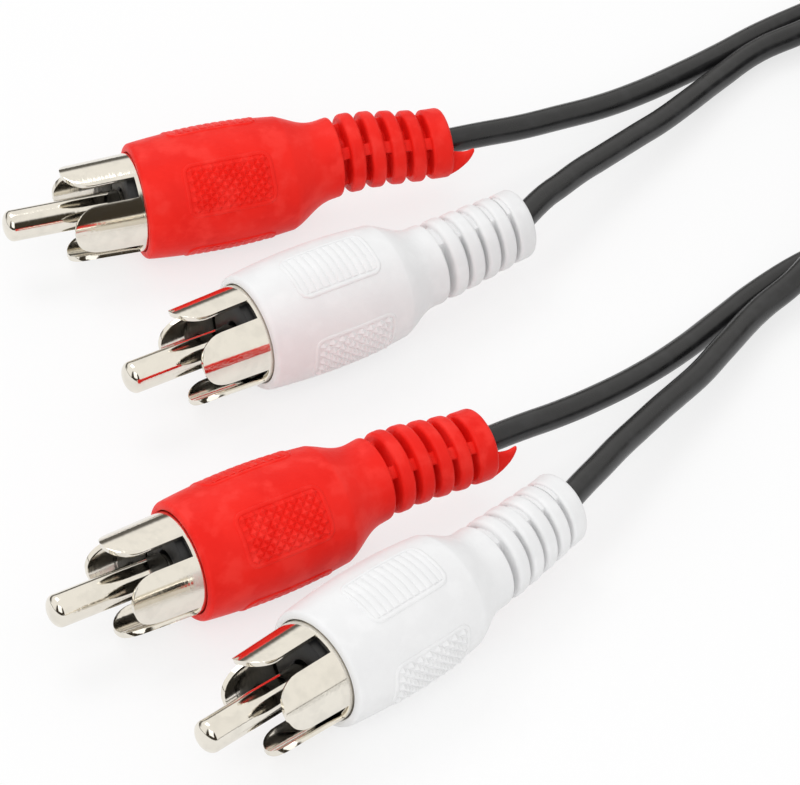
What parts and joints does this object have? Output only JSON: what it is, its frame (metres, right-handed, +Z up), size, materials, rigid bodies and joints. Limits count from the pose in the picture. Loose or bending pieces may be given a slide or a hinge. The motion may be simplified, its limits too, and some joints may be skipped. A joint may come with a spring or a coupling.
{
  "type": "audio cable",
  "caption": "Phono lead with red and white moulded plugs at each end, ribbed strain reliefs and a black twin cable whose spare length is wound into a tied coil.",
  "frame": {"origin": "centre of the four plugs' bounding box, on the surface they lie on", "axes": "+Z up from the surface, +X from the pins towards the coil, +Y from the second end's plugs towards the first end's"},
  "size_m": [0.1469, 0.1409, 0.0132],
  "materials": {
    "red_moulding": "satin",
    "white_moulding": "satin",
    "nickel": "bright nickel plate",
    "black_moulding": "satin",
    "black_jacket": "satin",
    "natural_dielectric": "satin",
    "copper": "bare copper"
  },
  "bodies": {
    "root": {"red_a_body": "red_moulding", "red_a_shell": "nickel", "red_a_pin": "nickel", "red_a_insulator": "black_moulding", "red_a_dielectric": "natural_dielectric", "red_a_shield": "copper", "red_a_conductor": "copper", "red_a_strand": "black_jacket", "white_a_body": "white_moulding", "white_a_shell": "nickel", "white_a_pin": "nickel", "white_a_insulator": "black_moulding", "white_a_dielectric": "natural_dielectric", "white_a_shield": "copper", "white_a_conductor": "copper", "white_a_strand": "black_jacket", "red_b_body": "red_moulding", "red_b_shell": "nickel", "red_b_pin": "nickel", "red_b_insulator": "black_moulding", "red_b_dielectric": "natural_dielectric", "red_b_shield": "copper", "red_b_conductor": "copper", "red_b_strand": "black_jacket", "white_b_body": "white_moulding", "white_b_shell": "nickel", "white_b_pin": "nickel", "white_b_insulator": "black_moulding", "white_b_dielectric": "natural_dielectric", "white_b_shield": "copper", "white_b_conductor": "copper", "white_b_strand": "black_jacket", "cable_coil": "black_jacket", "coil_tie": "black_moulding"}
  },
  "joints": []
}
